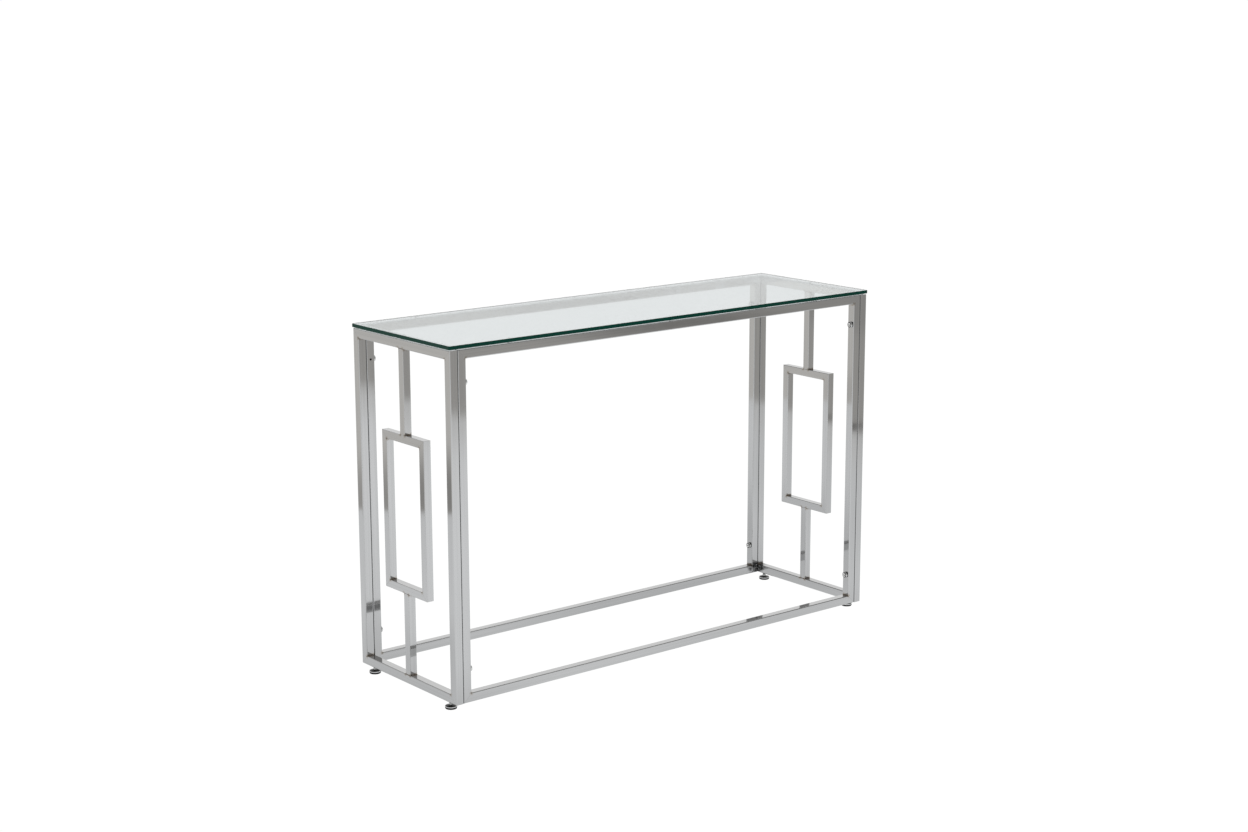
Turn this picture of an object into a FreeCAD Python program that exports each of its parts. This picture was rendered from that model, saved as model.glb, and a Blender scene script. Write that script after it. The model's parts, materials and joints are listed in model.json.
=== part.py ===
import FreeCAD, Part
import math
import os

# Console table: a glass top on four bolted, welded frames of polished square tube.
# Millimetres. +X is the length, -Y the front, +Z up, Z = 0 the floor.

Vector = FreeCAD.Vector
X_AXIS = Vector(1, 0, 0)
Y_AXIS = Vector(0, 1, 0)
Z_AXIS = Vector(0, 0, 1)

# Overall
frame_length = 1196.0        # over the two end frames
frame_depth = 368.0          # over the front and back frames
frame_height = 758.0         # tube frames only
foot_height = 17.0           # floor to the underside of the frames, feet half way out
frame_top = foot_height + frame_height

# Tube of the main frames
tube = 20.0
tube_wall = 1.5
tube_radius = 2.0            # outside corner radius of the section
joint_gap = 0.3              # fitting gap between a long frame and an end frame
vent_radius = 2.5            # vent hole in each long frame's posts, level with the upper bolts

# Tube of the decorative panels, centred on the main tube
slim = 18.0
slim_wall = 1.2
slim_radius = 1.2
panel_width = 160.0
panel_height = 350.0
panel_rise = 202.0           # underside of the frame to the underside of the panel

# Glass top and the clear discs it rests on
glass_overhang = 2.0
glass_thickness = 8.0
glass_corner = 3.0
glass_arris = 0.8            # ground edge bevel
disc_radius = 5.0
disc_thickness = 2.0
disc_spread = 440.0          # centre disc to the outer disc on a long rail

# M8 round socket head screws and the weld nuts behind them
bolt_radius = 4.0
bolt_length = 30.0
bolt_hole_radius = 4.25
head_radius = 7.0
head_height = 6.0
head_round = 2.4
socket_flats = 5.0
socket_depth = 3.0
bolt_drop = 70.0             # frame top to the upper bolts
bolt_rise = 72.0             # frame underside to the lower bolts
nut_flats = 13.0
nut_height = 6.5
nut_bore_radius = 4.05

# Levelling feet
foot_inset = 35.0            # outer face of the frame to the foot's axis, along Y
foot_shift = 1.0             # the foot's axis is this far inside the end frame's centre line
base_radius = 12.4
base_height = 4.8
base_round = 0.8
shoulder_height = 2.2        # the cover's rim rests here
cover_radius = 13.0
cover_inner_radius = 11.8
cover_rim = 6.4
cover_top = 8.4
hub_radius = 5.6
cover_round = 1.6
neck_clearance = 0.08
swivel_radius = 5.6
swivel_top = 4.7
swivel_floor = 1.6
stud_top = 29.0
wrench_flats = 6.5           # two flats milled on the stud for a spanner
wrench_low = 9.0
wrench_high = 11.6


def moved(shape, x=0.0, y=0.0, z=0.0):
    result = shape.copy()
    result.translate(Vector(x, y, z))
    return result


def turned(shape, axis, degrees):
    result = shape.copy()
    result.rotate(Vector(0, 0, 0), axis, degrees)
    return result


def long_edges(shape, length):
    return [edge for edge in shape.Edges
            if abs(edge.Length - length) < 1e-6 and abs(edge.tangentAt(0).dot(X_AXIS)) > 0.999]


def straight_tube(length, size, wall, radius):
    """Square tube along X from 0 to length, centred on Y, with its outer face at Z = 0."""
    outer = Part.makeBox(length, size, size, Vector(0, -size / 2, 0))
    outer = outer.makeFillet(radius, long_edges(outer, length))
    inner_size = size - 2 * wall
    inner = Part.makeBox(length + 2, inner_size, inner_size, Vector(-1, -inner_size / 2, wall))
    return outer.cut(inner)


def mitred_tube(length, size, wall, radius):
    """The same tube with both ends cut at 45 degrees, its long side at Z = 0."""
    corners = [Vector(0, -size, 0), Vector(length, -size, 0),
               Vector(length - size, -size, size), Vector(size, -size, size)]
    outline = Part.Face(Part.makePolygon(corners + corners[:1]))
    return straight_tube(length, size, wall, radius).common(outline.extrude(Y_AXIS * (2 * size)))


def rectangle(width, height, size, wall, radius):
    """Four mitred tubes in the XZ plane: X 0 to width, Z 0 to height, centred on Y."""
    side = mitred_tube(height, size, wall, radius)
    level = mitred_tube(width, size, wall, radius)
    return {
        "bottom": level,
        "top": moved(turned(level, Y_AXIS, 180), width, 0, height),
        "low_x": moved(turned(side, Y_AXIS, 90), 0, 0, height),
        "high_x": moved(turned(side, Y_AXIS, -90), width, 0, 0),
    }


def hexagon(flats, height):
    corner = flats / math.sqrt(3)
    points = [Vector(corner * math.cos(math.radians(60 * i)), corner * math.sin(math.radians(60 * i)), 0)
              for i in range(7)]
    return Part.Face(Part.makePolygon(points)).extrude(Z_AXIS * height)


def screw():
    """Screw along Z: the shank below Z = 0, the round socket head above it."""
    head = Part.makeCylinder(head_radius, head_height)
    head = head.makeFillet(head_round, [edge for edge in head.Edges
                                        if edge.Closed and abs(edge.BoundBox.ZMin - head_height) < 1e-6])
    shank = Part.makeCylinder(bolt_radius, bolt_length, Vector(0, 0, -bolt_length))
    shank = shank.makeChamfer(0.8, [edge for edge in shank.Edges
                                    if abs(edge.BoundBox.ZMax + bolt_length) < 1e-6])
    socket = moved(hexagon(socket_flats, socket_depth + 1), 0, 0, head_height - socket_depth)
    return head.fuse(shank).cut(socket).removeSplitter()


def weld_nut():
    """Hexagon nut along Z, from Z = 0 up."""
    bore = Part.makeCylinder(nut_bore_radius, nut_height + 2, Vector(0, 0, -1))
    return hexagon(nut_flats, nut_height).cut(bore)


# Positions that the frames share
end_x = frame_length / 2 - tube / 2             # centre line of an end frame
long_y = frame_depth / 2 - tube / 2             # centre line of the front or back frame
inner_x = frame_length / 2 - tube               # inner face of an end frame
long_x = inner_x - joint_gap                    # end of a long frame
seat_x = long_x - tube                          # where a bolt head sits
bolt_levels = (foot_height + bolt_rise, frame_top - bolt_drop)
foot_x = end_x - foot_shift
foot_y = frame_depth / 2 - foot_inset

nodes = {}


def end_frame(side, sign):
    """Full-depth rectangle at one end, drilled for the bolts and the feet."""
    tubes = rectangle(frame_depth, frame_height, tube, tube_wall, tube_radius)
    names = {"bottom": "bottom_rail", "top": "top_rail", "low_x": "front_post", "high_x": "back_post"}
    placed = {names[key]: moved(turned(moved(shape, -frame_depth / 2), Z_AXIS, 90),
                                sign * end_x, 0, foot_height)
              for key, shape in tubes.items()}
    for post, y in (("front_post", -long_y), ("back_post", long_y)):
        for z in bolt_levels:
            hole = Part.makeCylinder(bolt_hole_radius, 5, Vector(sign * (inner_x - 1), y, z), X_AXIS * sign)
            placed[post] = placed[post].cut(hole)
    for y in (-foot_y, foot_y):
        hole = Part.makeCylinder(bolt_hole_radius, 5, Vector(sign * foot_x, y, foot_height - 1))
        placed["bottom_rail"] = placed["bottom_rail"].cut(hole)
    for name, shape in placed.items():
        nodes[f"{side}_end_{name}"] = shape


def end_panel(side, sign):
    """Tall narrow rectangle hung between two short bars, in the plane of the end frame."""
    tubes = rectangle(panel_width, panel_height, slim, slim_wall, slim_radius)
    names = {"bottom": "bottom_bar", "top": "top_bar", "low_x": "front_stile", "high_x": "back_stile"}
    base = foot_height + panel_rise
    for key, shape in tubes.items():
        upright = turned(moved(shape, -panel_width / 2), Z_AXIS, 90)
        nodes[f"{side}_panel_{names[key]}"] = moved(upright, sign * end_x, 0, base)
    stretches = {"lower_bar": (foot_height + tube, base),
                 "upper_bar": (base + panel_height, frame_top - tube)}
    for name, (low, high) in stretches.items():
        bar = turned(straight_tube(high - low, slim, slim_wall, slim_radius), Y_AXIS, -90)
        nodes[f"{side}_panel_{name}"] = moved(bar, sign * end_x + slim / 2, 0, low)


def long_frame(side, sign):
    """Rectangle along the length, between the end frames, drilled for the bolts."""
    tubes = rectangle(2 * long_x, frame_height, tube, tube_wall, tube_radius)
    names = {"bottom": "bottom_rail", "top": "top_rail", "low_x": "left_post", "high_x": "right_post"}
    for key, shape in tubes.items():
        placed = moved(shape, -long_x, sign * long_y, foot_height)
        if key in ("low_x", "high_x"):
            middle = (seat_x + tube / 2) * (-1 if key == "low_x" else 1)
            for z in bolt_levels:
                start = Vector(middle - tube, sign * long_y, z)
                placed = placed.cut(Part.makeCylinder(bolt_hole_radius, 2 * tube, start, X_AXIS))
            start = Vector(middle, sign * (long_y - tube / 2 - 1), bolt_levels[1])
            placed = placed.cut(Part.makeCylinder(vent_radius, tube_wall + 2, start, Y_AXIS * sign))
        nodes[f"{side}_frame_{names[key]}"] = placed


def bolts_and_nuts():
    """Eight screws, two at each corner, and the nuts welded inside the end posts."""
    screws = []
    nuts = []
    for x_sign in (-1, 1):
        # The head faces the middle of the table, so the shank points outwards.
        bolt = turned(screw(), Y_AXIS, -90 * x_sign)
        nut = turned(weld_nut(), Y_AXIS, 90 * x_sign)
        for y in (-long_y, long_y):
            for z in bolt_levels:
                screws.append(moved(bolt, x_sign * seat_x, y, z))
                nuts.append(moved(nut, x_sign * (inner_x + tube_wall), y, z))
    nodes["frame_bolts"] = Part.makeCompound(screws)
    nodes["frame_nuts"] = Part.makeCompound(nuts)


def glass_and_discs():
    length = frame_length + 2 * glass_overhang
    depth = frame_depth + 2 * glass_overhang
    base = frame_top + disc_thickness
    glass = Part.makeBox(length, depth, glass_thickness, Vector(-length / 2, -depth / 2, base))
    glass = glass.makeFillet(glass_corner, [edge for edge in glass.Edges
                                            if abs(edge.tangentAt(0).dot(Z_AXIS)) > 0.999])
    rims = [edge for edge in glass.Edges if edge.BoundBox.ZLength < 1e-6]
    nodes["glass_top"] = glass.makeChamfer(glass_arris, rims)
    spots = [(x, y) for x in (-disc_spread, 0, disc_spread) for y in (-long_y, long_y)]
    spots += [(-end_x, 0), (end_x, 0)]
    disc = Part.makeCylinder(disc_radius, disc_thickness)
    nodes["glass_discs"] = Part.makeCompound([moved(disc, x, y, frame_top) for x, y in spots])


def lathed(points):
    """Solid of revolution about Z from (radius, height) points."""
    outline = [Vector(radius, 0, height) for radius, height in points]
    return Part.Face(Part.makePolygon(outline + outline[:1])).revolve(Vector(0, 0, 0), Z_AXIS, 360)


def foot_base():
    """Plastic glide with the pocket that the stud's flange turns in."""
    body = Part.makeCylinder(base_radius, shoulder_height)
    body = body.makeFillet(base_round, [edge for edge in body.Edges
                                        if edge.Closed and edge.BoundBox.ZMax < 1e-6])
    body = body.fuse(Part.makeCylinder(cover_inner_radius, base_height - 1, Vector(0, 0, 1)))
    pocket = Part.makeCylinder(swivel_radius + 0.3, base_height, Vector(0, 0, swivel_floor))
    return body.cut(pocket).removeSplitter()


def foot_cover():
    """Polished cap over the glide: a rounded rim and a low cone; it holds the stud's flange down."""
    neck = bolt_radius + neck_clearance
    body = lathed([(neck, base_height), (cover_inner_radius, base_height),
                   (cover_inner_radius, shoulder_height), (cover_radius, shoulder_height),
                   (cover_radius, cover_rim), (hub_radius, cover_top), (neck, cover_top)])
    rims = [edge for edge in body.Edges
            if edge.Closed and abs(edge.BoundBox.ZMin - cover_rim) < 1e-6 and edge.BoundBox.ZLength < 1e-6]
    return body.makeFillet(cover_round, rims)


def foot_stud():
    """M8 stud: flange in the glide, wrench flats, then the threaded end in the rail."""
    flange = Part.makeCylinder(swivel_radius, swivel_top - swivel_floor, Vector(0, 0, swivel_floor))
    shank = Part.makeCylinder(bolt_radius, stud_top - swivel_floor, Vector(0, 0, swivel_floor))
    shank = shank.makeChamfer(0.8, [edge for edge in shank.Edges
                                    if edge.Closed and abs(edge.BoundBox.ZMin - stud_top) < 1e-6])
    for sign in (-1, 1):
        start = wrench_flats / 2 if sign > 0 else -wrench_flats / 2 - bolt_radius
        shank = shank.cut(Part.makeBox(4 * bolt_radius, bolt_radius, wrench_high - wrench_low,
                                       Vector(-2 * bolt_radius, start, wrench_low)))
    return flange.fuse(shank).removeSplitter()


def feet():
    nuts = []
    for side, x_sign in (("left", -1), ("right", 1)):
        for face, y_sign in (("front", -1), ("back", 1)):
            x = x_sign * foot_x
            y = y_sign * foot_y
            nodes[f"{face}_{side}_foot_base"] = moved(foot_base(), x, y)
            nodes[f"{face}_{side}_foot_cover"] = moved(foot_cover(), x, y)
            nodes[f"{face}_{side}_foot_stud"] = moved(foot_stud(), x, y)
            nuts.append(moved(weld_nut(), x, y, foot_height + tube_wall))
    nodes["foot_nuts"] = Part.makeCompound(nuts)


for side, sign in (("left", -1), ("right", 1)):
    end_frame(side, sign)
    end_panel(side, sign)
for side, sign in (("front", -1), ("back", 1)):
    long_frame(side, sign)
bolts_and_nuts()
glass_and_discs()
feet()

os.makedirs("parts", exist_ok=True)
for name, shape in nodes.items():
    solids = len(shape.Solids)
    box = shape.BoundBox
    print(f"{name:28s} valid={shape.isValid()} solids={solids} volume={shape.Volume:10.1f} "
          f"X {box.XMin:8.2f} {box.XMax:8.2f}  Y {box.YMin:8.2f} {box.YMax:8.2f}  "
          f"Z {box.ZMin:7.2f} {box.ZMax:7.2f}")
    shape.exportStep(f"parts/{name}.step")
print(len(nodes), "nodes")
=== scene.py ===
"""Looks of the console table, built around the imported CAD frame. Metres, +X length, -Y front, +Z up."""
import json
import math

import bmesh
import bpy
from mathutils import Matrix, Vector


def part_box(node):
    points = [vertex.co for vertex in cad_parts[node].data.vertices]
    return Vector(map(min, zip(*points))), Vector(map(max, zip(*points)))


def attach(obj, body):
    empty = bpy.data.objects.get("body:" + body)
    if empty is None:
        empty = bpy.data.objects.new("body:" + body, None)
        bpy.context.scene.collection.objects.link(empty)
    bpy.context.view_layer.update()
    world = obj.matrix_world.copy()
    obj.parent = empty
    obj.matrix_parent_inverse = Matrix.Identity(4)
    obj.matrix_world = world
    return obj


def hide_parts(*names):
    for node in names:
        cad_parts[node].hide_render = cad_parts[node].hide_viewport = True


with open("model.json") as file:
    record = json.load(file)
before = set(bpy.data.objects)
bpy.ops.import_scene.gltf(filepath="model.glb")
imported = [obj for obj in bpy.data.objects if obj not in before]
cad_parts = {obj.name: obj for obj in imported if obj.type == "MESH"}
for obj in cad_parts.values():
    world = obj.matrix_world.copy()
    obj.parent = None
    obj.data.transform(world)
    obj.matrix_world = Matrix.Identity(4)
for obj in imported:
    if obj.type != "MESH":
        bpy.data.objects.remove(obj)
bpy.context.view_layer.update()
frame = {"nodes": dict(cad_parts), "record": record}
nodes = frame["nodes"]

MM = 0.001
SIDES = (("left", -1), ("right", 1))
FACES = (("front", -1), ("back", 1))

# Camera, solved from the table's straight edges
CAMERA_PLACE = (-3.00834, -3.73362, 1.54745)
CAMERA_YAW = math.radians(-38.915)
CAMERA_PITCH = math.radians(-11.982)
CAMERA_ROLL = math.radians(-0.108)
CAMERA_LENS = 61.707

# Ground directions of the camera's view: X and Y of straight ahead and of its right
AHEAD = (0.628, 0.778)
RIGHTWARD = (0.778, -0.628)

# Radiance of the studio as the polished steel and the glass see it
WHITE = 1.02                 # floor and backdrop straight to the camera
PAPER = 0.86
BACKDROP = 0.86
STUDIO = 0.42                # floor beside the paper
BESIDE = 0.64                # floor beyond the left edge of the paper
ROOM = 0.38                  # walls beside and behind the camera
CEILING = 0.06               # dark band of ceiling, above the walls
SKYLIGHT = 0.5               # diffuse light straight above
COOL = (0.986, 1.0, 1.014)   # daylight on the paper
WARM = (1.02, 1.0, 0.965)    # lamps on the rest of the studio

STEEL = (0.622, 0.622, 0.62)
STRAW = (0.37, 0.30, 0.22)
SCORCH = (0.10, 0.085, 0.072)
# painted shade for the crevice between two posts
CREVICE_SHADE = (0.045, 0.045, 0.045)
# painted dark reflection of the foot, low in the back right corner
PAINTED_FOOT_REFLECTION = (0.02, 0.022, 0.022)
EDGE_GREEN = (0.0, 0.068, 0.046)
ARRIS_GREEN = (0.0, 0.08, 0.058)

# Millimetres, like all profiles of turned pieces below
HEAD_RADIUS = 7.0
HEAD_HEIGHT = 6.0
HEAD_ROUND = 2.4
HEX_KEY = 5.0
SHANK_LENGTH = 30.0
THREAD_PITCH = 1.25
THREAD_CREST = 4.0
THREAD_ROOT = 3.35
THREAD_END = 2.9
NECK_RADIUS = 3.97
SPANNER_FLATS = 6.5
CAP_RADIUS = 13.0
CAP_ROUND = 1.6
CAP_SHOULDER = 5.175         # height of the centre of the rim's round
DISC_RADIUS = 5.0

DISC_SPREAD = 440 * MM       # centre disc to the outer disc on a long rail
TURNING_PITCH = 0.35 * MM    # rings that the lathe left on the screw's face


def middle_of(name):
    """Middle of the box round a CAD node."""
    low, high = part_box(name)
    return (low + high) / 2


# Places that come from the CAD nodes
END_X = middle_of("right_end_top_rail").x
LONG_Y = middle_of("back_frame_top_rail").y
LONG_X = middle_of("back_frame_right_post").x
BOTTOM_Z = middle_of("left_end_bottom_rail").z
TOP_Z = middle_of("left_end_top_rail").z
STILE_Y = middle_of("left_panel_back_stile").y
PANEL_LOW = middle_of("left_panel_bottom_bar").z
PANEL_HIGH = middle_of("left_panel_top_bar").z
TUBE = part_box("left_end_top_rail")[1].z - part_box("left_end_top_rail")[0].z
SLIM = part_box("left_panel_top_bar")[1].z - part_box("left_panel_top_bar")[0].z
FOOT = middle_of("back_right_foot_base")
SEAT_X = LONG_X - TUBE / 2
BOLT_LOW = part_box("frame_bolts")[0].z + HEAD_RADIUS * MM
BOLT_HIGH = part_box("frame_bolts")[1].z - HEAD_RADIUS * MM

# Middle of the painted dark reflection of the foot in the back right corner, and the stretch that makes its
# patch wide and low
FOOT_REFLECTION_SPOT = Vector((END_X - TUBE / 2 - 4 * MM, LONG_Y - TUBE / 2, BOTTOM_Z + 4 * MM))
FOOT_REFLECTION_STRETCH = Vector((0.7, 0.9, 1.5))


# Node helpers -----------------------------------------------------------------------------------

class Graph:
    """A node tree with short calls to add nodes and join them."""

    def __init__(self, tree):
        self.tree = tree
        tree.nodes.clear()

    def add(self, kind, inputs=None, **settings):
        """New node with its settings, and its inputs put in by name or number."""
        node = self.tree.nodes.new(kind)
        for key, value in settings.items():
            setattr(node, key, value)
        for key, value in (inputs or {}).items():
            self.put(node.inputs[key], value)
        return node

    def put(self, socket, value):
        """Join another node's output to a socket, or set the socket's own value."""
        if isinstance(value, bpy.types.NodeSocket):
            self.tree.links.new(value, socket)
        elif hasattr(value, "__len__") and len(value) == 3 and socket.type == "RGBA":
            socket.default_value = (*value, 1)
        else:
            socket.default_value = value

    def math(self, operation, *values):
        node = self.add("ShaderNodeMath", operation=operation)
        for socket, value in zip(node.inputs, values):
            self.put(socket, value)
        return node.outputs[0]

    def ramp(self, value, low, high, to_low=0.0, to_high=1.0, smooth=True):
        """Number that goes from to_low to to_high while the value goes from low to high."""
        kind = "SMOOTHSTEP" if smooth else "LINEAR"
        limits = {"From Min": low, "From Max": high, "To Min": to_low, "To Max": to_high}
        node = self.add("ShaderNodeMapRange", limits, interpolation_type=kind)
        self.put(node.inputs["Value"], value)
        return node.outputs[0]

    def mix(self, factor, first, second):
        """Colour between first and second."""
        node = self.add("ShaderNodeMix", data_type="RGBA")
        self.put(node.inputs["Factor"], factor)
        colours = [socket for socket in node.inputs if socket.type == "RGBA"]
        self.put(colours[0], first)
        self.put(colours[1], second)
        return [socket for socket in node.outputs if socket.type == "RGBA"][0]

    def blend(self, factor, first, second):
        """Number between first and second."""
        rest = self.math("SUBTRACT", 1.0, factor)
        return self.math("ADD", self.math("MULTIPLY", first, rest), self.math("MULTIPLY", second, factor))

    def noise(self, vector, scale, detail=2.0, rough=0.5):
        inputs = {"Scale": scale, "Detail": detail, "Roughness": rough, "Vector": vector}
        return self.add("ShaderNodeTexNoise", inputs).outputs["Fac"]

    def place(self):
        """Coordinates of the piece itself, so a finish stays on it when it moves."""
        return self.add("ShaderNodeTexCoord").outputs["Object"]

    def split(self, vector):
        """The three coordinates of a vector, by letter."""
        return dict(zip("XYZ", self.add("ShaderNodeSeparateXYZ", {0: vector}).outputs))

    def stretched(self, vector, scale):
        """Vector multiplied by a scale on each axis."""
        return self.add("ShaderNodeVectorMath", {0: vector, 1: scale}, operation="MULTIPLY").outputs[0]

    def distance(self, vector, point):
        node = self.add("ShaderNodeVectorMath", {0: vector, 1: point}, operation="DISTANCE")
        return node.outputs["Value"]

    def least(self, values):
        """Smallest of some numbers."""
        result = values[0]
        for value in values[1:]:
            result = self.math("MINIMUM", result, value)
        return result

    def bump(self, height, distance, strength=1.0):
        inputs = {"Strength": strength, "Distance": distance, "Height": height}
        return self.add("ShaderNodeBump", inputs).outputs[0]


def material(name):
    """New material and its empty graph."""
    made = bpy.data.materials.new(name)
    made.use_nodes = True
    return made, Graph(made.node_tree)


def surface(graph, normal=None, **inputs):
    """Principled shader with the given inputs, joined to a material output, which is returned."""
    titles = {"ior": "IOR", "specular_ior_level": "Specular IOR Level"}
    named = {titles.get(key, key.replace("_", " ").title()): value for key, value in inputs.items()}
    shader = graph.add("ShaderNodeBsdfPrincipled", named)
    if normal is not None:
        graph.put(shader.inputs["Normal"], normal)
    output = graph.add("ShaderNodeOutputMaterial")
    graph.put(output.inputs["Surface"], shader.outputs[0])
    return output


# Materials --------------------------------------------------------------------------------------

def off_centre(g, coordinate, centres):
    """Distance from the nearest tube centre line, the same on both sides of the table."""
    size = g.math("ABSOLUTE", coordinate)
    return g.least([g.math("ABSOLUTE", g.math("SUBTRACT", size, centre)) for centre in centres])


def polished_tube(name, along, section, half_size, plane, mitre, welds, seam_x=None):
    """Mirror polished tube along one axis.

    section: the two other axes with the tube centres, half_size: half the tube;
    plane: the rectangle's long axis, mitre: (half length, low, high) of its outline or None;
    welds: points (plane axis, Z) of the weld beads, given for one side;
    seam_x: where an end frame meets a long frame, if this tube is one of the pair.
    """
    made, g = material(name)
    place = g.place()
    axis = g.split(place)

    # Polishing cloud, fine lines along the tube, and duller worn corners
    cloud = g.noise(place, 16, 4)
    lines = g.noise(g.stretched(place, [6 if key == along else 1400 for key in "XYZ"]), 1.0, 2)
    broad = g.noise(g.stretched(place, [2 if key == along else 260 for key in "XYZ"]), 1.0, 1)
    edge = g.least([off_centre(g, axis[key], centres) for key, centres in section])
    wear = g.ramp(edge, half_size - 1.8 * MM, half_size - 0.6 * MM)
    wear = g.math("MULTIPLY", wear, g.ramp(g.noise(place, 320, 3), 0.42, 0.62))
    rough = g.ramp(cloud, 0.3, 0.75, 0.035, 0.075)
    rough = g.math("ADD", rough, g.ramp(lines, 0.45, 0.8, 0.0, 0.035))
    rough = g.math("ADD", rough, g.math("MULTIPLY", wear, 0.06))
    colour = g.mix(g.ramp(broad, 0.35, 0.65), tuple(0.95 * c for c in STEEL), STEEL)

    # Heat tint that the polishing left beside the weld beads
    flat = g.add("ShaderNodeCombineXYZ", {0: g.math("ABSOLUTE", axis[plane]), 1: axis["Z"]}).outputs[0]
    reach = g.least([g.distance(flat, (*point, 0)) for point in welds])
    ragged = g.ramp(g.noise(place, 420, 3), 0.3, 0.7, -1.6 * MM, 1.6 * MM)
    reach = g.math("ADD", reach, ragged)
    straw = g.ramp(reach, 2.2 * MM, 6.0 * MM, 0.5, 0.0)
    scorch = g.ramp(reach, 0.9 * MM, 2.6 * MM, 0.6, 0.0)
    colour = g.mix(scorch, g.mix(straw, colour, STRAW), SCORCH)
    rough = g.math("ADD", rough, g.math("MULTIPLY", scorch, 0.25))

    # Broken dark patch in the back right corner, a painted reflection of the foot and its shadow
    foot_reflection = g.distance(g.stretched(place, FOOT_REFLECTION_STRETCH), FOOT_REFLECTION_SPOT * FOOT_REFLECTION_STRETCH)
    broken = g.ramp(g.noise(place, 240, 4), 0.34, 0.56)
    foot_reflection = g.math("MULTIPLY", g.ramp(foot_reflection, 14 * MM, 25 * MM, 0.88, 0.0), broken)
    colour = g.mix(foot_reflection, colour, PAINTED_FOOT_REFLECTION)

    # Painted shade in the crevice between two posts
    if seam_x:
        crevice = g.math("ABSOLUTE", g.math("SUBTRACT", g.math("ABSOLUTE", axis["X"]), seam_x))
        crevice = g.math("ADD", crevice, g.math("MULTIPLY", ragged, 0.08))
        crevice_shade = g.ramp(crevice, 0.5 * MM, 1.35 * MM, 0.85, 0.0)
        colour = g.mix(crevice_shade, colour, CREVICE_SHADE)
        rough = g.math("ADD", rough, g.math("MULTIPLY", crevice_shade, 0.3))

    # Waviness of the tube wall, and the ground hairline of the mitre
    height = g.math("ADD", g.noise(place, 30, 1), g.math("MULTIPLY", lines, 0.01))
    if mitre:
        half, low, high = mitre
        inward = g.math("SUBTRACT", half, g.math("ABSOLUTE", axis[plane]))
        upward = g.least([g.math("SUBTRACT", axis["Z"], low), g.math("SUBTRACT", high, axis["Z"])])
        seam = g.math("ABSOLUTE", g.math("SUBTRACT", inward, upward))
        hairline = g.ramp(seam, 0.12 * MM, 0.32 * MM, 1.0, 0.0)
        colour = g.mix(g.math("MULTIPLY", hairline, 0.45), colour, SCORCH)
        height = g.math("SUBTRACT", height, hairline)
    surface(g, g.bump(height, 0.018 * MM), base_color=colour, roughness=rough, metallic=1.0)
    return made


def tube_materials():
    """One material for each direction and group of tubes, by the ending of the node's name."""
    low, high = BOTTOM_Z - TUBE / 2, TOP_Z + TUBE / 2
    inside_low, inside_high = BOTTOM_Z + TUBE / 2, TOP_Z - TUBE / 2
    end_outline = (LONG_Y + TUBE / 2, low, high)
    long_outline = (LONG_X + TUBE / 2, low, high)
    panel_outline = (STILE_Y + SLIM / 2, PANEL_LOW - SLIM / 2, PANEL_HIGH + SLIM / 2)
    rail_levels = (BOTTOM_Z, TOP_Z)
    bar = SLIM / 2
    end_welds = [(y, z) for y in (LONG_Y - TUBE / 2, bar) for z in (inside_low, inside_high)]
    long_welds = [(SEAT_X, inside_low), (SEAT_X, inside_high)]
    panel_welds = [(STILE_Y - bar, PANEL_LOW + bar), (STILE_Y - bar, PANEL_HIGH - bar),
                   (bar, PANEL_LOW - bar), (bar, PANEL_HIGH + bar)]
    bar_welds = panel_welds[2:] + end_welds[2:]
    seam = END_X - TUBE / 2
    end, across, stile = ("X", (END_X,)), ("Y", (LONG_Y,)), ("Y", (STILE_Y,))
    rails = ("Z", rail_levels)
    panel_rails = ("Z", (PANEL_LOW, PANEL_HIGH))
    groups = {
        "end_post": ("Z", (end, across), TUBE / 2, "Y", end_outline, end_welds, seam),
        "end_rail": ("Y", (end, rails), TUBE / 2, "Y", end_outline, end_welds),
        "long_post": ("Z", (("X", (LONG_X,)), across), TUBE / 2, "X", long_outline, long_welds, seam),
        "long_rail": ("X", (across, rails), TUBE / 2, "X", long_outline, long_welds),
        "stile": ("Z", (end, stile), bar, "Y", panel_outline, panel_welds),
        "panel_bar": ("Y", (end, panel_rails), bar, "Y", panel_outline, panel_welds),
        "hanger": ("Z", (end, ("Y", (0.0,))), bar, "Y", None, bar_welds),
    }
    made = {key: polished_tube(f"{key}_steel", *settings) for key, settings in groups.items()}
    by_node = {}
    for side, _ in SIDES:
        for post in ("front_post", "back_post"):
            by_node[f"{side}_end_{post}"] = made["end_post"]
        for level in ("top", "bottom"):
            by_node[f"{side}_end_{level}_rail"] = made["end_rail"]
            by_node[f"{side}_panel_{level}_bar"] = made["panel_bar"]
        for face, _ in FACES:
            by_node[f"{side}_panel_{face}_stile"] = made["stile"]
            by_node[f"{face}_frame_{side}_post"] = made["long_post"]
        for bar_name in ("upper_bar", "lower_bar"):
            by_node[f"{side}_panel_{bar_name}"] = made["hanger"]
    for face, _ in FACES:
        for level in ("top", "bottom"):
            by_node[f"{face}_frame_{level}_rail"] = made["long_rail"]
    return by_node


def weld_steel():
    """Weld bead: rippled, brown to blue with heat, paler in small flecks."""
    made, g = material("weld_steel")
    place = g.place()
    hue = g.noise(place, 190, 3)
    colour = g.mix(g.ramp(hue, 0.35, 0.62), (0.30, 0.22, 0.13), (0.17, 0.16, 0.18))
    colour = g.mix(g.ramp(g.noise(place, 700, 2), 0.5, 0.72), colour, (0.48, 0.44, 0.38))
    grain = g.noise(place, 2600, 2)
    rough = g.ramp(grain, 0.3, 0.7, 0.24, 0.46)
    surface(g, g.bump(grain, 0.03 * MM), base_color=colour, roughness=rough, metallic=1.0)
    return made


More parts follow.
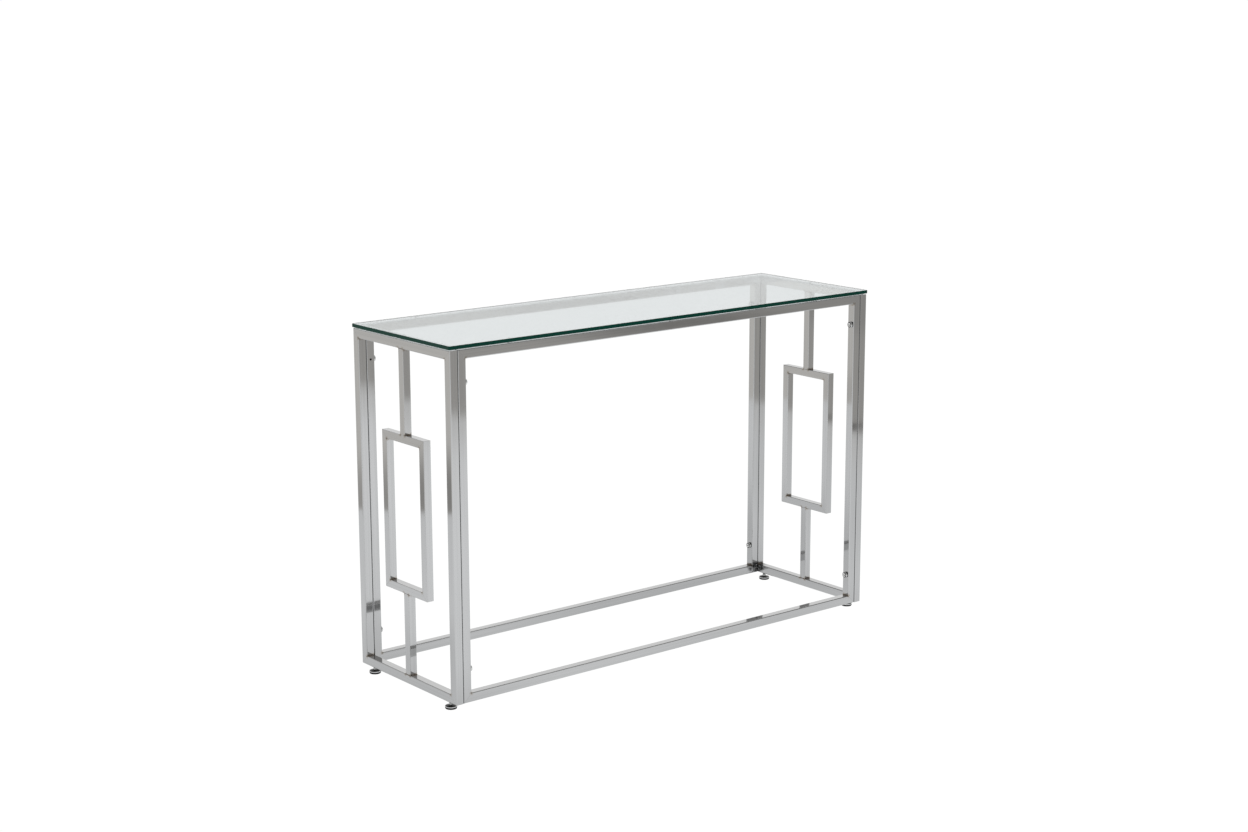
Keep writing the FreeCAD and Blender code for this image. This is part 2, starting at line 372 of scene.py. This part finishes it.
def table_glass():
    """Clear float glass: almost clear through the sheet, deep green in the ground and polished edge."""
    made, g = material("table_glass")
    place = g.place()
    smear = g.ramp(g.noise(place, 6, 5, 0.6), 0.45, 0.75, 0.0, 0.012)
    facing = g.math("ABSOLUTE", g.split(g.add("ShaderNodeNewGeometry").outputs["Normal"])["Z"])
    rim = g.ramp(facing, 0.9, 0.75)
    arris = g.math("MULTIPLY", rim, g.ramp(facing, 0.1, 0.3))
    grinding = g.ramp(g.noise(g.stretched(place, (900, 900, 60)), 1.0, 2), 0.3, 0.7)
    green = g.mix(grinding, EDGE_GREEN, tuple(0.72 * c for c in EDGE_GREEN))
    colour = g.mix(rim, (1, 1, 1), g.mix(arris, green, ARRIS_GREEN))
    rough = g.math("ADD", smear, g.math("MULTIPLY", rim, 0.05))
    rough = g.math("ADD", rough, g.math("MULTIPLY", arris, 0.3))
    output = surface(g, base_color=colour, roughness=rough, ior=1.52, specular_ior_level=0.14,
                     transmission_weight=g.math("SUBTRACT", 1.0, rim))
    volume = g.add("ShaderNodeVolumeAbsorption", {"Color": (0.0, 0.55, 0.55), "Density": 6.0})
    g.put(output.inputs["Volume"], volume.outputs[0])
    return made


def clear_plastic():
    """Soft clear disc, slightly frosted."""
    made, g = material("clear_plastic")
    place = g.place()
    grain = g.noise(place, 900, 2)
    surface(g, g.bump(grain, 0.01 * MM), base_color=(0.97, 0.98, 0.98),
            roughness=g.ramp(grain, 0.3, 0.7, 0.08, 0.16), ior=1.15, transmission_weight=0.95)
    return made


def black_plastic():
    """Moulded glide: fine texture, scuffed grey where it touches the floor."""
    made, g = material("black_plastic")
    place = g.place()
    grain = g.noise(place, 2400, 3)
    low = g.ramp(g.split(place)["Z"], 0.0, 1.2 * MM, 1.0, 0.0)
    scuff = g.math("MULTIPLY", low, g.ramp(g.noise(g.stretched(place, (500, 500, 90)), 1.0, 3), 0.45, 0.65))
    colour = g.mix(g.noise(place, 150, 3), (0.012, 0.012, 0.013), (0.026, 0.026, 0.027))
    colour = g.mix(g.math("MULTIPLY", scuff, 0.5), colour, (0.12, 0.115, 0.11))
    rough = g.math("ADD", g.ramp(grain, 0.2, 0.8, 0.36, 0.55), g.math("MULTIPLY", scuff, 0.2))
    surface(g, g.bump(grain, 0.05 * MM, 0.6), base_color=colour, roughness=rough)
    return made


def plated_steel(name, tone, dull):
    """Plated turned part: even plating with small pits and cloudy handling marks."""
    made, g = material(name)
    place = g.place()
    cloud = g.noise(place, 240, 4)
    grain = g.noise(place, 1500, 2)
    colour = g.mix(g.ramp(cloud, 0.3, 0.7), tuple(0.84 * c for c in tone), tone)
    pits = g.ramp(grain, 0.62, 0.8, 0.0, 0.15)
    rough = g.math("ADD", g.ramp(cloud, 0.2, 0.8, 0.7 * dull, 1.3 * dull), pits)
    surface(g, g.bump(grain, 0.012 * MM, 0.5), base_color=colour, roughness=rough, metallic=1.0)
    return made


def cap_chrome():
    """Foot cap: bright shoulder between a crown and a rolled edge that are painted dark as reflections."""
    made, g = material("foot_chrome")
    place = g.place()
    cloud = g.noise(place, 240, 4)
    grain = g.noise(place, 1500, 2)
    height = g.split(place)["Z"]
    # The crown and the rolled edge below 3.9 mm are painted dark, standing in for dark reflections
    crown = g.ramp(height, 5.9 * MM, 6.4 * MM)
    shoulder = g.ramp(height, 3.9 * MM, 4.4 * MM, 0.04, 0.9)
    shoulder = g.mix(g.ramp(cloud, 0.3, 0.7), g.math("MULTIPLY", shoulder, 0.85), shoulder)
    painted_dark_reflection = g.mix(g.ramp(cloud, 0.3, 0.7), (0.07, 0.07, 0.07), (0.13, 0.13, 0.128))
    pits = g.ramp(grain, 0.62, 0.8, 0.0, 0.15)
    rough = g.math("ADD", g.ramp(cloud, 0.2, 0.8, 0.05, 0.09), pits)
    surface(g, g.bump(grain, 0.012 * MM, 0.5), base_color=g.mix(crown, shoulder, painted_dark_reflection),
            roughness=rough, metallic=1.0)
    return made


def screw_chrome():
    """Plated screw: bright side above a seat painted dark as shade, rounded edge painted dark as a
    reflection, face painted pale as a highlight, satin socket.
    """
    made, g = material("bolt_chrome")
    place = g.place()
    axis = g.split(place)
    sideways = off_centre(g, axis["Y"], (LONG_Y,))
    upward = off_centre(g, axis["Z"], (BOLT_LOW, BOLT_HIGH))
    radius = g.math("SQRT", g.math("ADD", g.math("POWER", sideways, 2.0), g.math("POWER", upward, 2.0)))
    face = g.ramp(radius, 4.7 * MM, 4.3 * MM)
    off_seat = g.math("SUBTRACT", SEAT_X, g.math("ABSOLUTE", axis["X"]))
    outer = g.ramp(radius, 6.2 * MM, 6.7 * MM)
    side = g.math("MULTIPLY", outer, g.ramp(off_seat, 1.2 * MM, 2.0 * MM))
    socket = g.ramp(radius, 3.3 * MM, 3.0 * MM)
    turning = g.math("SINE", g.math("MULTIPLY", radius, 2 * math.pi / TURNING_PITCH))
    cloud = g.noise(place, 260, 3)
    # The dark tone is a painted reflection on the rounded edge and painted shade at the seat; the pale face
    # is a painted highlight
    colour = g.mix(g.ramp(cloud, 0.3, 0.7), (0.055, 0.055, 0.055), (0.10, 0.10, 0.098))
    colour = g.mix(side, colour, (0.8, 0.8, 0.79))
    colour = g.mix(face, colour, (0.95, 0.95, 0.94))
    rough = g.math("ADD", g.ramp(cloud, 0.3, 0.7, 0.12, 0.2), g.math("MULTIPLY", face, 0.1))
    rough = g.math("ADD", rough, g.math("MULTIPLY", socket, 0.45))
    surface(g, g.bump(g.math("MULTIPLY", turning, face), 0.006 * MM), base_color=colour, roughness=rough,
            metallic=1.0)
    return made


SLOTS = {
    "table_glass": table_glass(),
    "clear_disc": clear_plastic(),
    "bolt_chrome": screw_chrome(),
    "nut_steel": plated_steel("nut_steel", (0.45, 0.45, 0.44), 0.32),
    "foot_plastic": black_plastic(),
    "foot_chrome": cap_chrome(),
    "stud_steel": plated_steel("stud_steel", (0.56, 0.56, 0.55), 0.16),
}
WELD = weld_steel()


def paint_nodes():
    """Every CAD node gets its own finish, also the ones that a more detailed piece stands for."""
    tubes = tube_materials()
    for part in frame["record"]["subparts"]:
        mesh = nodes[part["node"]].data
        mesh.materials.clear()
        mesh.materials.append(tubes.get(part["node"]) or SLOTS[part["material_slot"]])


# Mesh helpers -----------------------------------------------------------------------------------

SEGMENTS = 48


def ring(radius, height):
    """One loop of points round Z; radius is a number or a function of the angle. Millimetres."""
    points = []
    for i in range(SEGMENTS):
        angle = 2 * math.pi * i / SEGMENTS
        size = radius(angle) if callable(radius) else radius
        points.append(Vector((size * math.cos(angle), size * math.sin(angle), height)) * MM)
    return points


def hexagonal(flats):
    """Radius of a hexagon at an angle."""
    def radius(angle):
        return flats / 2 / math.cos(angle % (math.pi / 3) - math.pi / 6)
    return radius


def two_flats(flats, limit):
    """Radius of a circle of radius limit with two flats milled on it."""
    def radius(angle):
        return min(flats / 2 / max(abs(math.sin(angle)), 1e-6), limit)
    return radius


def arc(centre, radius, start, stop, steps):
    """Profile points (radius, height) on an arc, angles in degrees from the outward direction."""
    angles = [math.radians(start + (stop - start) * i / steps) for i in range(steps + 1)]
    return [(centre[0] + radius * math.cos(a), centre[1] + radius * math.sin(a)) for a in angles]


def skin(mesh, rings, place=Matrix.Identity(4), loop=False):
    """Faces between successive rings, closed by end caps or, for a loop, back to the first ring."""
    rows = [[mesh.verts.new(place @ point) for point in points] for points in rings]
    pairs = list(zip(rows, rows[1:]))
    if loop:
        pairs.append((rows[-1], rows[0]))
    for low, high in pairs:
        for i in range(len(low)):
            j = (i + 1) % len(low)
            mesh.faces.new((low[i], low[j], high[j], high[i]))
    if not loop:
        mesh.faces.new(list(reversed(rows[0])))
        mesh.faces.new(rows[-1])


def piece(name, mesh, finish, body, replaced=(), crease=32):
    """Object from a bmesh: smooth with sharp creases, on a body, in a material slot."""
    bmesh.ops.recalc_face_normals(mesh, faces=mesh.faces)
    data = bpy.data.meshes.new(name)
    mesh.to_mesh(data)
    mesh.free()
    data.shade_smooth()
    data.set_sharp_from_angle(angle=math.radians(crease))
    data.materials.append(finish)
    made = bpy.data.objects.new(name, data)
    bpy.context.scene.collection.objects.link(made)
    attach(made, body)
    if replaced:
        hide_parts(*replaced)


# Pieces -----------------------------------------------------------------------------------------

def thread(low, high, steps=6):
    """Rings of an M8 thread from low to high, with a short lead at both ends."""
    count = int((high - low) / THREAD_PITCH * steps)
    rings = []
    for k in range(count + 1):
        z = low + (high - low) * k / count
        lead = THREAD_ROOT + 0.9 * min(z - low, high - z)

        def radius(angle):
            phase = (z / THREAD_PITCH - angle / (2 * math.pi)) % 1.0
            tooth = min(1.0, max(0.0, 1.7 - 4.0 * abs(phase - 0.5)))
            return min(THREAD_ROOT + (THREAD_CREST - THREAD_ROOT) * tooth, lead)
        rings.append(ring(radius, z))
    return rings


def screw_rings():
    """Round socket head screw along Z: seat at 0, head above it, shank below it."""
    shank = [ring(THREAD_END, -SHANK_LENGTH)] + thread(0.2 - SHANK_LENGTH, -3.0)
    shank += [ring(3.95, -2.4), ring(3.95, -0.3), ring(4.2, 0)]
    middle = (HEAD_RADIUS - HEAD_ROUND, HEAD_HEIGHT - HEAD_ROUND)
    head = [ring(HEAD_RADIUS - 0.4, 0), ring(HEAD_RADIUS, 0.35)]
    head += [ring(*point) for point in arc(middle, HEAD_ROUND, 0, 90, 9)]
    socket = [ring(3.15, HEAD_HEIGHT), ring(hexagonal(HEX_KEY), 5.7), ring(hexagonal(HEX_KEY), 3.1)]
    return shank + head + socket + [ring(1.6, 2.9), ring(0.3, 2.75)]


def screws():
    """Eight screws, four in each end, with their heads towards the middle of the table."""
    mesh = bmesh.new()
    rings = screw_rings()
    for _, x_sign in SIDES:
        lie = Matrix.Rotation(math.radians(-90 * x_sign), 4, "Y")
        for _, y_sign in FACES:
            for i, z in enumerate((BOLT_LOW, BOLT_HIGH)):
                spin = Matrix.Rotation(math.radians(17 + 23 * i + 11 * x_sign + 7 * y_sign), 4, "Z")
                spot = Matrix.Translation((x_sign * SEAT_X, y_sign * LONG_Y, z))
                skin(mesh, rings, spot @ lie @ spin)
    piece("screws_detail", mesh, SLOTS["bolt_chrome"], "frame", ["frame_bolts"])


def stud_rings():
    """Swivel stud: flange, neck with two milled spanner flats, then the thread."""
    flange = [ring(r, z) for r, z in ((5.2, 1.6), (5.6, 1.9), (5.6, 4.4), (5.3, 4.7), (4.0, 4.7))]
    flats = two_flats(SPANNER_FLATS, NECK_RADIUS)
    milled = [ring(NECK_RADIUS, 8.98), ring(flats, 9.02), ring(flats, 11.58), ring(NECK_RADIUS, 11.62)]
    neck = [ring(NECK_RADIUS, 8.6), *milled, ring(NECK_RADIUS, 12.0), ring(THREAD_ROOT, 12.4)]
    return flange + neck + thread(12.4, 28.8, 8) + [ring(THREAD_END, 29.0)]


def cover_rings():
    """Polished cap: rounded rim, low crowned cone up to the hub, and a bore round the stud."""
    profile = [(4.3, 4.8), (11.8, 4.8), (11.8, 2.4), (12.0, 2.2), (12.75, 2.2), (CAP_RADIUS, 2.45)]
    profile += arc((CAP_RADIUS - CAP_ROUND, CAP_SHOULDER), CAP_ROUND, 0, 74.9, 9)
    start, stop = profile[-1], (6.1, 8.25)
    for i in range(1, 8):
        t = i / 8
        crown = 0.1 * math.sin(math.pi * t)
        profile.append((start[0] + (stop[0] - start[0]) * t, start[1] + (stop[1] - start[1]) * t + crown))
    profile += [stop, (5.7, 8.4), (4.4, 8.4), (4.2, 8.2), (4.2, 5.0)]
    return [ring(*point) for point in profile]


def base_rings():
    """Moulded glide: recessed underneath, rounded foot, and the pocket for the stud's flange."""
    profile = [(0.4, 0.5), (8.4, 0.5), (9.0, 0.0)] + arc((11.6, 0.8), 0.8, -90, 0, 6)
    profile += [(12.4, 2.0), (12.2, 2.2), (11.75, 2.2), (11.75, 4.7), (6.0, 4.7), (6.0, 1.55), (0.4, 1.55)]
    return [ring(*point) for point in profile]


def feet():
    """Glide, cap and stud of the four feet. The glide and the cap ride on the foot, the stud turns."""
    for face, y_sign in FACES:
        for side, x_sign in SIDES:
            corner = f"{face}_{side}"
            spot = Matrix.Translation((x_sign * FOOT.x, y_sign * FOOT.y, 0))
            for part, rings, slot, body, loop in (
                    ("base", base_rings(), "foot_plastic", "foot", False),
                    ("cover", cover_rings(), "foot_chrome", "foot", True),
                    ("stud", stud_rings(), "stud_steel", "stud", False)):
                mesh = bmesh.new()
                skin(mesh, rings, spot, loop)
                piece(f"{corner}_{part}_detail", mesh, SLOTS[slot], f"{corner}_{body}",
                      [f"{corner}_foot_{part}"])


def discs():
    """Clear discs with soft moulded edges, just clear of the rail below and the glass above."""
    mesh = bmesh.new()
    low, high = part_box("glass_discs")
    gap = 0.04 * MM
    rise = (high.z - low.z - 2 * gap) / MM
    soft = 0.45
    profile = [(0.5, 0.0)] + arc((DISC_RADIUS - soft, soft), soft, -90, 0, 4)
    profile += arc((DISC_RADIUS - soft, rise - soft), soft, 0, 90, 4) + [(0.5, rise)]
    rings = [ring(*point) for point in profile]
    rings = [[point + Vector((0, 0, gap)) for point in points] for points in rings]
    end_x = high.x - DISC_RADIUS * MM
    long_spots = [(x, y) for x in (-DISC_SPREAD, 0, DISC_SPREAD) for y in (-LONG_Y, LONG_Y)]
    for x, y in long_spots + [(-end_x, 0), (end_x, 0)]:
        skin(mesh, rings, Matrix.Translation((x, y, low.z)))
    piece("clear_discs_detail", mesh, SLOTS["clear_disc"], "frame", ["glass_discs"])


def bead(mesh, start, stop, radius=1.25 * MM):
    """Rippled weld bead between two points, tapered at both ends."""
    start, stop = Vector(start), Vector(stop)
    along = (stop - start).normalized()
    side = along.orthogonal().normalized()
    other = along.cross(side)
    length = (stop - start).length
    steps = int(length / (0.3 * MM))
    phase = 40 * (start.x + 2 * start.y + 3 * start.z)
    rings = []
    for k in range(steps + 1):
        s = length * k / steps
        taper = min(1.0, 0.35 + 0.65 * min(s, length - s) / (1.6 * MM))
        wander = 1 + 0.1 * math.sin(phase + 430 * s) + 0.07 * math.sin(2 * phase + 1130 * s)
        points = []
        for i in range(12):
            angle = 2 * math.pi * i / 12
            lean = 0.45 * MM * math.cos(angle + phase)
            ripple = 1 + 0.09 * math.sin(2 * math.pi * (s + lean) / (1.3 * MM))
            size = radius * taper * wander * ripple
            points.append(start + along * s + (side * math.cos(angle) + other * math.sin(angle)) * size)
        rings.append(points)
    skin(mesh, rings)


def weld_beads():
    """Beads in the inside corners of the rectangles and round the ends of the short bars."""
    frames = bmesh.new()
    panels = bmesh.new()
    flat = TUBE / 2 - 2.2 * MM         # half a bead's length, on the flat of a tube
    slim_flat = SLIM / 2 - 1.4 * MM
    bar = SLIM / 2
    levels = (BOTTOM_Z + TUBE / 2, TOP_Z - TUBE / 2)
    for _, x_sign in SIDES:
        x = x_sign * END_X
        for _, y_sign in FACES:
            for z in levels:
                y = y_sign * (LONG_Y - TUBE / 2)
                bead(frames, (x - flat, y, z), (x + flat, y, z))
                corner = x_sign * SEAT_X
                bead(frames, (corner, y_sign * LONG_Y - flat, z), (corner, y_sign * LONG_Y + flat, z))
            for z in (PANEL_LOW + bar, PANEL_HIGH - bar):
                y = y_sign * (STILE_Y - bar)
                bead(panels, (x - slim_flat, y, z), (x + slim_flat, y, z))
            for z in (*levels, PANEL_LOW - bar, PANEL_HIGH + bar):
                bead(panels, (x - slim_flat, y_sign * bar, z), (x + slim_flat, y_sign * bar, z))
        for face_sign in (-1, 1):
            for z in levels:
                edge = x + face_sign * bar
                sunk = z + (-0.3 * MM if z < PANEL_LOW else 0.3 * MM)
                bead(panels, (edge, -slim_flat, sunk), (edge, slim_flat, sunk), 0.9 * MM)
    piece("frame_weld_beads", frames, WELD, "frame", crease=60)
    piece("panel_weld_beads", panels, WELD, "frame", crease=60)


# Stage ------------------------------------------------------------------------------------------

PAPER_LEFT = -1.95           # edges of the paper, along the camera's right
PAPER_RIGHT = 2.57

# Soft shading of the paper: place, reach, and the gain at its middle
PAPER_SHADING = (
    ((0.35, 0.35, 0), 0.95, 0.79),
    ((-0.75, 0.0, 0), 0.6, 0.84),
    ((1.3, -0.9, 0), 1.1, 0.9),
    ((-0.5, 1.9, 0), 1.2, 1.1),
)

# Small dark spots painted into the floor's glow, seen only in reflections: place, dark and clear radius, and
# the gain at the middle; the second is painted shade on the paper between the rails
PAINTED_DARK_SPOTS = (
    ((2.07, -1.67, 0), 0.03, 0.10, 0.45),
    ((-0.325, -0.053, 0), 0.03, 0.09, 0.4),
)


def floor():
    """Glowing floor, plain white to the camera; in reflections a sheet of paper with painted shade on a
    darker studio floor.
    """
    mesh = bpy.data.meshes.new("studio_floor")
    size = 60
    mesh.from_pydata([(-size, -size, 0), (size, -size, 0), (size, size, 0), (-size, size, 0)], [],
                     [(0, 1, 2, 3)])
    sheet = bpy.data.objects.new("studio_floor", mesh)
    bpy.context.scene.collection.objects.link(sheet)
    sheet.location.z = -0.5 * MM
    made, g = material("studio_floor")
    place = g.place()
    across = g.add("ShaderNodeVectorMath", {0: place, 1: (*RIGHTWARD, 0)}, operation="DOT_PRODUCT")
    across = across.outputs["Value"]
    fall_off = g.distance(place, (0.0, -1.5, 0))
    paper = g.ramp(fall_off, 0.0, 3.6, PAPER * 1.07, PAPER * 0.86, smooth=False)
    for spot, reach, gain in PAPER_SHADING:
        paper = g.math("MULTIPLY", paper, g.ramp(g.distance(place, spot), 0.15, reach, gain, 1.0))
    # Darker patches of painted shade in the studio floor's glow, round two points
    right = g.ramp(g.distance(place, (2.95, -3.8, 0)), 0.15, 0.8, STUDIO * 0.64, STUDIO)
    right = g.math("MULTIPLY", right, g.ramp(across, 4.3, 4.9, 1.0, 0.85))
    left = g.ramp(g.distance(place, (-1.8, 1.3, 0)), 0.15, 0.85, BESIDE * 0.5, BESIDE)
    fading = g.ramp(across, PAPER_RIGHT - 0.77, PAPER_RIGHT - 0.12, 0.0, 0.26)
    crossed = g.ramp(across, PAPER_RIGHT - 0.09, PAPER_RIGHT + 0.09, 0.0, 0.74)
    past_right = g.math("ADD", fading, crossed)
    past_left = g.ramp(across, PAPER_LEFT + 0.03, PAPER_LEFT - 0.03)
    level = g.blend(past_left, g.blend(past_right, paper, right), left)
    # Painted contact shadow round each foot, seen only in reflections
    folded = g.add("ShaderNodeVectorMath", {0: place}, operation="ABSOLUTE").outputs[0]
    contact = g.distance(folded, (FOOT.x, FOOT.y, 0))
    level = g.math("MULTIPLY", level, g.ramp(contact, 13 * MM, 36 * MM, 0.08, 1.0))
    for spot, near, far, gain in PAINTED_DARK_SPOTS:
        level = g.math("MULTIPLY", level, g.ramp(g.distance(place, spot), near, far, gain, 1.0))
    colour = g.mix(g.math("MAXIMUM", past_left, past_right), COOL, WARM)
    seen = g.add("ShaderNodeLightPath").outputs["Is Camera Ray"]
    glowing = g.add("ShaderNodeEmission", {"Color": g.mix(seen, colour, (1, 1, 1)),
                                           "Strength": g.blend(seen, level, WHITE)})
    output = g.add("ShaderNodeOutputMaterial")
    g.put(output.inputs["Surface"], glowing.outputs[0])
    mesh.materials.append(made)


def studio():
    """Plain white to the camera; in reflections a bright backdrop, a dim room and a dark ceiling."""
    world = bpy.data.worlds.new("studio")
    bpy.context.scene.world = world
    world.use_nodes = True
    g = Graph(world.node_tree)
    direction = g.add("ShaderNodeTexCoord").outputs["Generated"]
    ahead = g.add("ShaderNodeVectorMath", {0: direction, 1: (*AHEAD, 0)}, operation="DOT_PRODUCT")
    behind = g.ramp(ahead.outputs["Value"], 0.15, 0.6)
    height = g.split(direction)["Z"]
    level = g.blend(behind, ROOM, BACKDROP)
    level = g.blend(g.ramp(height, 0.52, 0.66), level, CEILING)
    level = g.blend(g.ramp(height, 0.68, 0.8), level, SKYLIGHT)
    seen = g.add("ShaderNodeLightPath").outputs["Is Camera Ray"]
    background = g.add("ShaderNodeBackground", {"Color": (1, 1, 1), "Strength": g.blend(seen, level, WHITE)})
    output = g.add("ShaderNodeOutputWorld")
    g.put(output.inputs["Surface"], background.outputs[0])


def camera():
    """Camera at the solved place, lens and tilt."""
    data = bpy.data.cameras.new("camera")
    data.lens = CAMERA_LENS
    data.sensor_width = 36
    data.clip_start, data.clip_end = 0.1, 200
    made = bpy.data.objects.new("camera", data)
    bpy.context.scene.collection.objects.link(made)
    turn = Matrix.Rotation(CAMERA_YAW, 4, "Z") @ Matrix.Rotation(math.pi / 2 + CAMERA_PITCH, 4, "X")
    made.matrix_world = Matrix.Translation(CAMERA_PLACE) @ turn @ Matrix.Rotation(CAMERA_ROLL, 4, "Z")
    bpy.context.scene.camera = made


paint_nodes()
screws()
feet()
discs()
weld_beads()
floor()
studio()
camera()
bpy.context.scene.view_settings.view_transform = "Standard"
